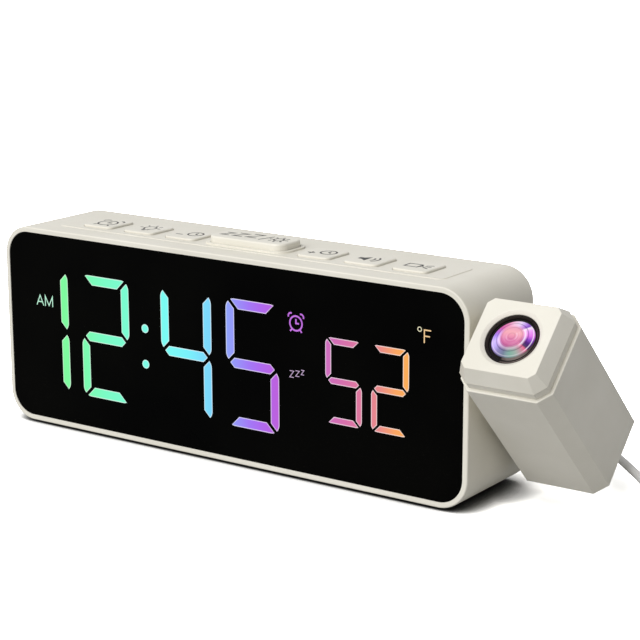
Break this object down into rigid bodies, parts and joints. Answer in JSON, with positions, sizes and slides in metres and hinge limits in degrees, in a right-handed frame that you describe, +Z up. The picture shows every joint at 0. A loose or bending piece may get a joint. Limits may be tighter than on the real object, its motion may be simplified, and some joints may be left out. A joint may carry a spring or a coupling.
{
  "type": "projection alarm clock",
  "caption": "Long table alarm clock with a black segment display, a snooze bar and flat keys on top, and a square tilting projector with a focus ring on its right end.",
  "frame": {"origin": "on the table under the middle of the clock with its projector at rest, the cord left out", "axes": "+X to the projector end, -Y out of the display, +Z up"},
  "size_m": [0.3157, 0.0964, 0.0738],
  "materials": {
    "case_plastic": "warm cream, fine satin texture",
    "key_plastic": "warm cream, satin",
    "projector_plastic": "warm cream, fine satin texture",
    "display_black": "black, mirror gloss",
    "lit_guide": "translucent, lit from behind in a colour gradient",
    "dark_guide": "smoked, unlit",
    "adhesive": "black foam tape",
    "reflector_white": "white, matt",
    "circuit_board": "green solder mask",
    "led_body": "pale, translucent",
    "component_black": "black, matt",
    "socket_black": "black, matt",
    "screw_steel": "bright zinc",
    "shaft_steel": "turned",
    "port_steel": "pressed sheet",
    "contact_metal": "gold-plated spring strip",
    "cell_steel": "satin",
    "speaker_paper": "black frame and paper cone",
    "foot_rubber": "matt",
    "wire_red": "insulated",
    "barrel_black": "black, matt, anti-reflection",
    "ring_black": "black, semi-gloss",
    "coated_glass": "magenta anti-reflection coating",
    "clear_glass": "clear",
    "cord_white": "white, soft satin",
    "tie_fabric": "black hook-and-loop strap"
  },
  "bodies": {
    "clock": {"main_housing": "case_plastic", "rear_cover": "case_plastic", "cover_screws": "screw_steel", "rubber_feet": "foot_rubber", "display_lens": "display_black", "lens_tape": "adhesive", "lit_segments": "lit_guide", "dark_segments": "dark_guide", "light_box": "reflector_white", "led_board": "circuit_board", "segment_leds": "led_body", "display_screws": "screw_steel", "main_board": "circuit_board", "board_parts": "component_black", "board_screws": "screw_steel", "power_inlet": "socket_black", "charging_port": "port_steel", "speaker": "speaker_paper", "coin_cell": "cell_steel", "cell_contacts": "contact_metal", "battery_door": "case_plastic", "door_screw": "screw_steel", "key_board": "circuit_board", "tact_switches": "component_black", "key_board_screws": "screw_steel", "clock_plug": "cord_white", "power_cord": "cord_white", "cord_coil": "cord_white", "cord_tie": "tie_fabric", "cord_tail": "cord_white", "usb_plug": "cord_white", "usb_shell": "port_steel"},
    "projector": {"projector_housing": "projector_plastic", "projector_cap": "projector_plastic", "pivot_shaft": "shaft_steel", "hub_screws": "screw_steel", "wave_washer": "shaft_steel", "retaining_ring": "shaft_steel", "projector_wires": "wire_red", "lamp_board": "circuit_board", "projector_led": "led_body", "lens_barrel": "barrel_black", "barrel_screws": "screw_steel", "condenser_lens": "clear_glass", "image_plate": "clear_glass"},
    "focus_ring": {"focus_ring": "ring_black"},
    "lens_cell": {"lens_cell": "ring_black", "projection_lens": "coated_glass"},
    "snooze_bar": {"snooze_bar": "key_plastic"},
    "alarm_key": {"alarm_key": "key_plastic"},
    "light_key": {"light_key": "key_plastic"},
    "minus_key": {"minus_key": "key_plastic"},
    "plus_key": {"plus_key": "key_plastic"},
    "volume_key": {"volume_key": "key_plastic"},
    "projector_key": {"projector_key": "key_plastic"}
  },
  "joints": [
    {"name": "projector_tilt", "type": "hinge", "parent": "clock", "child": "projector", "pos_m": [0.07805, 0.00187, 0.0358], "axis": [1, 0, 0], "range_deg": [-135, 45]},
    {"name": "focus_turn", "type": "hinge", "parent": "projector", "child": "focus_ring", "pos_m": [0.09645, 0.00187, 0.0358], "axis": [0, -0.7071, 0.7071], "range_deg": [-60, 60]},
    {"name": "lens_slide", "type": "slide", "parent": "projector", "child": "lens_cell", "axis": [0, -0.7071, 0.7071], "range_m": [-0.0005, 0.0005]},
    {"name": "snooze_press", "type": "slide", "parent": "clock", "child": "snooze_bar", "axis": [0, 0, -1], "range_m": [0, 0.001], "stiffness_N_per_m": 600},
    {"name": "alarm_press", "type": "slide", "parent": "clock", "child": "alarm_key", "axis": [0, 0, -1], "range_m": [0, 0.0006], "stiffness_N_per_m": 600},
    {"name": "light_press", "type": "slide", "parent": "clock", "child": "light_key", "axis": [0, 0, -1], "range_m": [0, 0.0006], "stiffness_N_per_m": 600},
    {"name": "minus_press", "type": "slide", "parent": "clock", "child": "minus_key", "axis": [0, 0, -1], "range_m": [0, 0.0006], "stiffness_N_per_m": 600},
    {"name": "plus_press", "type": "slide", "parent": "clock", "child": "plus_key", "axis": [0, 0, -1], "range_m": [0, 0.0006], "stiffness_N_per_m": 600},
    {"name": "volume_press", "type": "slide", "parent": "clock", "child": "volume_key", "axis": [0, 0, -1], "range_m": [0, 0.0006], "stiffness_N_per_m": 600},
    {"name": "projector_press", "type": "slide", "parent": "clock", "child": "projector_key", "axis": [0, 0, -1], "range_m": [0, 0.0006], "stiffness_N_per_m": 600}
  ],
  "couplings": [
    {"joint": "focus_turn", "follows": "lens_slide", "rad_per_m": 2090}
  ]
}
